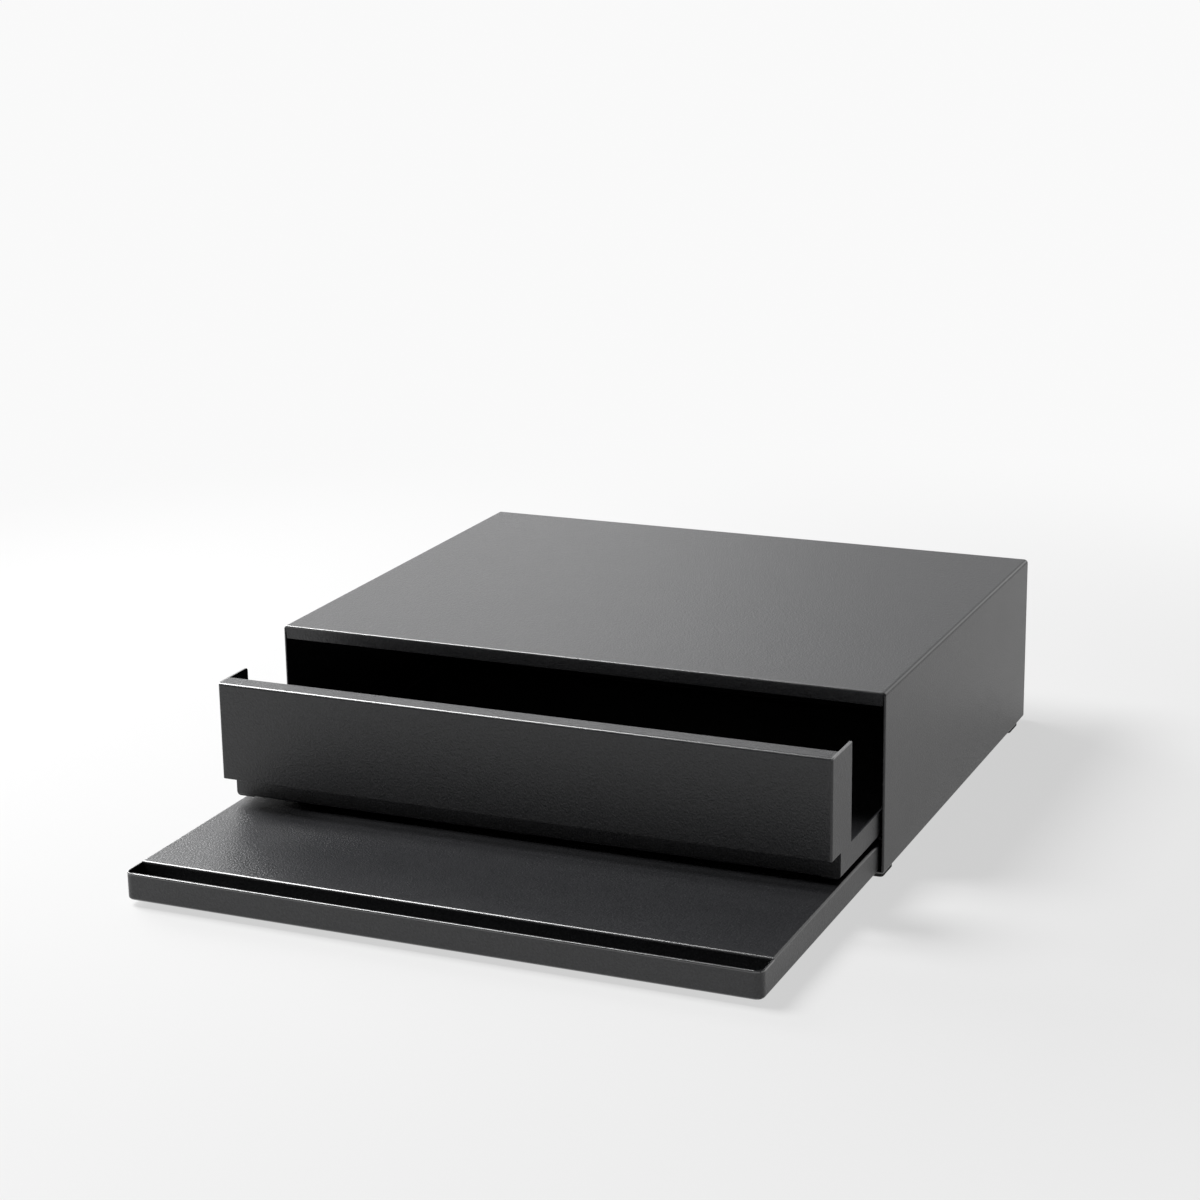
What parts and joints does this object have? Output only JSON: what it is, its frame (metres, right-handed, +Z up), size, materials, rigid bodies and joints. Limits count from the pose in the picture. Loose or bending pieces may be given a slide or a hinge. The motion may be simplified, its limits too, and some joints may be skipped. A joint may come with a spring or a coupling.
{
  "type": "countertop drawer",
  "caption": "Low folded-steel stand for a countertop appliance, with a sliding drawer and a pull-out tray below it.",
  "frame": {"origin": "middle of the footprint with the tray pulled out as pictured, at the worktop", "axes": "+X to the right seen from the front, +Y to the back, +Z up"},
  "size_m": [0.47, 0.6116, 0.135],
  "materials": {
    "powder_coat": "matt charcoal-black powder coat with a fine grain",
    "rubber": "matt black rubber",
    "nylon": "satin black nylon",
    "slip_tape": "smooth dark slip tape",
    "screw_black": "black-coated steel"
  },
  "bodies": {
    "housing": {"housing_shell": "powder_coat", "back_panel": "powder_coat", "back_screws": "screw_black", "drawer_bumpers": "rubber", "tray_bumpers": "rubber", "foot_front_left": "rubber", "foot_front_right": "rubber", "foot_rear_left": "rubber", "foot_rear_right": "rubber", "slip_strip_left": "slip_tape", "slip_strip_right": "slip_tape", "runner_left": "powder_coat", "runner_right": "powder_coat", "runner_glide_left": "nylon", "runner_glide_right": "nylon", "guide_left": "powder_coat", "guide_right": "powder_coat", "tray_stop_left": "powder_coat", "tray_stop_right": "powder_coat"},
    "drawer": {"drawer_wrap": "powder_coat", "drawer_pan": "powder_coat", "drawer_glide_left": "nylon", "drawer_glide_right": "nylon", "drawer_stop_left": "nylon", "drawer_stop_right": "nylon"},
    "tray": {"tray_top": "powder_coat", "tray_front": "powder_coat", "tray_rib_front": "powder_coat", "tray_rib_rear": "powder_coat"}
  },
  "joints": [
    {"name": "drawer_slide", "type": "slide", "parent": "housing", "child": "drawer", "axis": [0, -1, 0], "range_m": [-0.102, 0.138]},
    {"name": "tray_slide", "type": "slide", "parent": "housing", "child": "tray", "axis": [0, -1, 0], "range_m": [-0.235, 0.015]}
  ]
}
